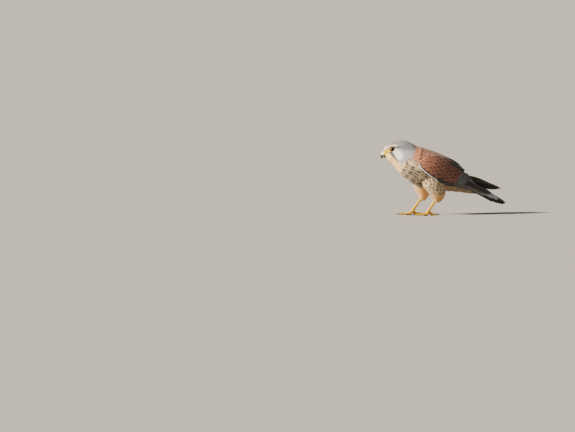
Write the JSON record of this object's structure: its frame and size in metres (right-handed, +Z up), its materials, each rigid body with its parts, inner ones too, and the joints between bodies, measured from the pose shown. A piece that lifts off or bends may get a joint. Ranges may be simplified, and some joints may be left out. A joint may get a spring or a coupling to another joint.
{
  "type": "common kestrel",
  "caption": "Adult male common kestrel standing with the body sloped, wings folded and head turned in profile, as a still life-size model",
  "frame": {"origin": "middle of the object's box in plan, at the level of the floor", "axes": "+X toward the tail, with the bill toward -X; +Y toward the bird's right side; +Z up"},
  "size_m": [0.2874, 0.0912, 0.1643],
  "materials": {
    "hood": "skin and flesh under a fine blue-grey feather coat, cream at forehead and throat, dark moustache stripe",
    "mantle": "skin and flesh under chestnut feathers above and streaked cream feathers below",
    "breast": "skin and flesh under cream-buff feathers with dark brown streaks and spots, chestnut on the back",
    "thigh": "skin and flesh under plain orange-buff feathers with a few dark drops above",
    "coverts": "matte chestnut feathers with black drop spots",
    "flight_feathers": "matte dark grey-brown flight feathers with thin pale fringes",
    "tail": "matte blue-grey feathers with a broad black band and a white tip",
    "leg_skin": "satin yellow-orange scaled skin",
    "cere": "smooth waxy yellow skin",
    "horn": "smooth horn, blue-grey at the base and blackish at the hook",
    "claw": "smooth black horn",
    "eye": "wet dark brown eye, opaque"
  },
  "bodies": {
    "root": {"head": "hood", "neck": "mantle", "torso": "breast", "tail": "tail", "cere": "cere", "bill_upper": "horn", "bill_lower": "horn", "eye_left": "eye", "eye_right": "eye", "wing_left": "coverts", "wing_right": "coverts", "primaries_left": "flight_feathers", "primaries_right": "flight_feathers", "thigh_left": "thigh", "thigh_right": "thigh", "tarsus_left": "leg_skin", "tarsus_right": "leg_skin", "toe_left_1": "leg_skin", "toe_left_2": "leg_skin", "toe_left_3": "leg_skin", "toe_left_4": "leg_skin", "toe_right_1": "leg_skin", "toe_right_2": "leg_skin", "toe_right_3": "leg_skin", "toe_right_4": "leg_skin", "claw_left_1": "claw", "claw_left_2": "claw", "claw_left_3": "claw", "claw_left_4": "claw", "claw_right_1": "claw", "claw_right_2": "claw", "claw_right_3": "claw", "claw_right_4": "claw"}
  },
  "joints": []
}
